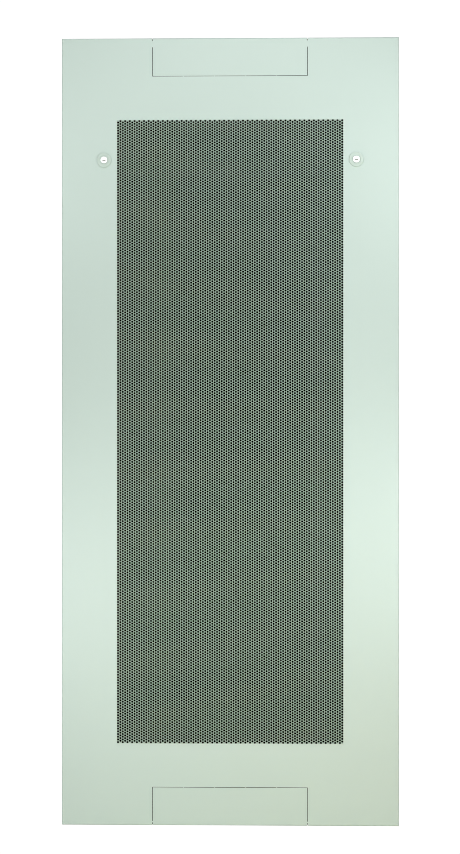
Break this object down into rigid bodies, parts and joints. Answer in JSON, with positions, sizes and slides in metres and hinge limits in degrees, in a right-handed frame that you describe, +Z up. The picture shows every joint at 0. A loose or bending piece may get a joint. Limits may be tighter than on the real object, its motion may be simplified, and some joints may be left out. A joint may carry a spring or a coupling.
{
  "type": "perforated rack rear panel",
  "caption": "Tall folded sheet-steel rear panel with a perforated field, knock-out cable entries at top and bottom, and keyed cam locks that grip a rack frame.",
  "frame": {"origin": "midway between the two locating holes, on the underside of the bottom flange", "axes": "+Z up, +X to the right as seen from outside the rack, +Y into the rack; the outer face looks along -Y"},
  "size_m": [0.5, 0.0321, 1.168],
  "materials": {
    "powder_coat": "satin light grey powder coat",
    "lock_housing": "light grey coated zinc casting",
    "lock_plug": "bright nickel plate",
    "wafer_brass": "stamped brass",
    "zinc_steel": "zinc-plated steel",
    "earth_brass": "turned brass"
  },
  "bodies": {
    "panel": {"panel_sheet": "powder_coat", "left_lock_housing": "lock_housing", "lock_tooth_washers": "zinc_steel", "lock_nuts": "zinc_steel", "right_lock_housing": "lock_housing", "earth_stud": "zinc_steel", "earth_washer": "zinc_steel", "earth_nut": "earth_brass"},
    "left_lock_rotor": {"left_lock_plug": "lock_plug", "left_lock_wafers": "wafer_brass", "left_stop_washer": "zinc_steel", "left_cam": "zinc_steel", "left_cam_washer": "zinc_steel", "left_cam_screw": "zinc_steel"},
    "right_lock_rotor": {"right_lock_plug": "lock_plug", "right_lock_wafers": "wafer_brass", "right_stop_washer": "zinc_steel", "right_cam": "zinc_steel", "right_cam_washer": "zinc_steel", "right_cam_screw": "zinc_steel"}
  },
  "joints": [
    {"name": "left_lock_turn", "type": "hinge", "parent": "panel", "child": "left_lock_rotor", "pos_m": [-0.187, 0, 0.987], "axis": [0, 1, 0], "range_deg": [0, 90]},
    {"name": "right_lock_turn", "type": "hinge", "parent": "panel", "child": "right_lock_rotor", "pos_m": [0.187, 0, 0.987], "axis": [0, -1, 0], "range_deg": [0, 90]}
  ]
}
